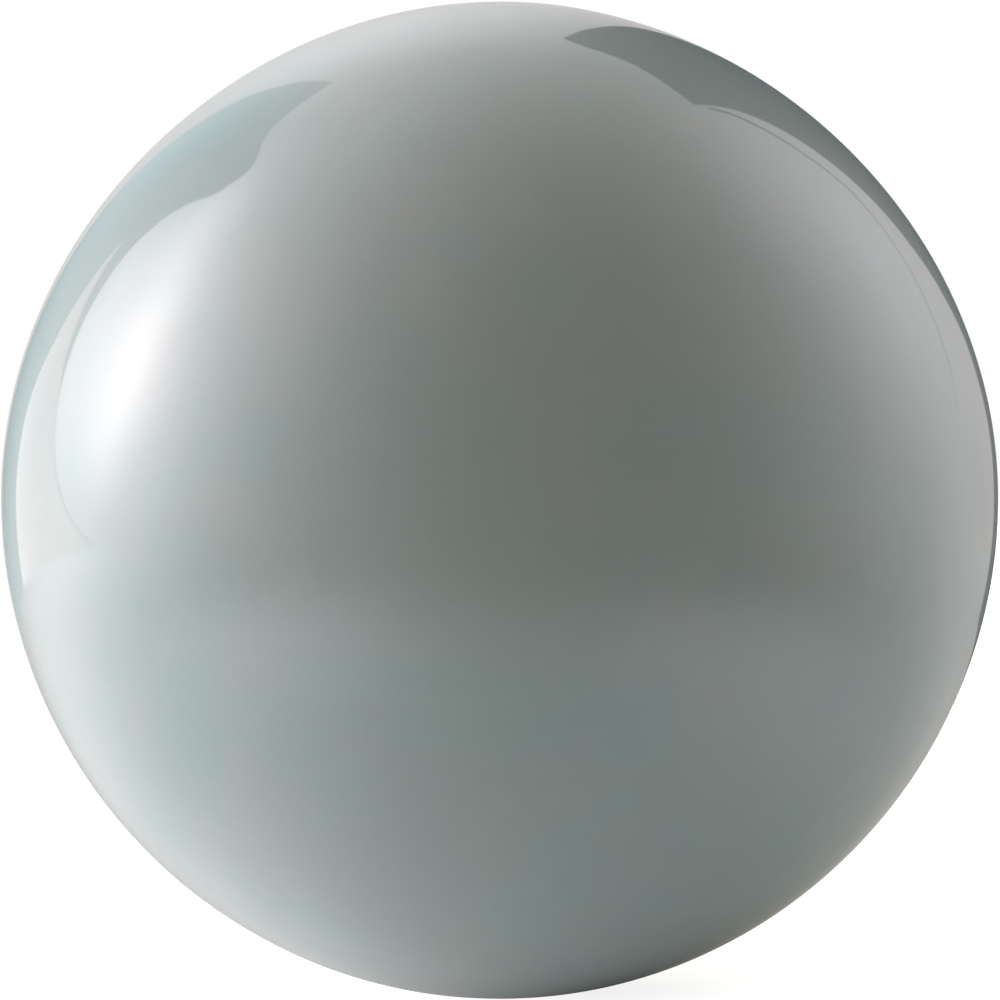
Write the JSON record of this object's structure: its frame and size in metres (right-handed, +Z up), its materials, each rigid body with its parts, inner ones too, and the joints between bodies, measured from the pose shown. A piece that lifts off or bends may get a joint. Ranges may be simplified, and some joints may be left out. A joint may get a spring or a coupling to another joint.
{
  "type": "exercise ball",
  "caption": "Large inflated exercise ball with a glossy skin, a bonded valve seat and a pull-out valve plug, resting on a small flattened patch.",
  "frame": {"origin": "middle of the flattened patch that the ball rests on", "axes": "+Z up through the ball's centre, +Y towards the valve, -Y the plain front side"},
  "size_m": [0.6499, 0.6498, 0.6483],
  "materials": {
    "ball_skin": "gloss",
    "valve_seat": "satin",
    "valve_plug": "satin"
  },
  "bodies": {
    "ball": {"ball_shell": "ball_skin", "valve_seat": "valve_seat"},
    "plug": {"valve_plug": "valve_plug"}
  },
  "joints": [
    {"name": "plug_pull", "type": "slide", "parent": "ball", "child": "plug", "axis": [0, 1, 0], "range_m": [0, 0.04]}
  ]
}
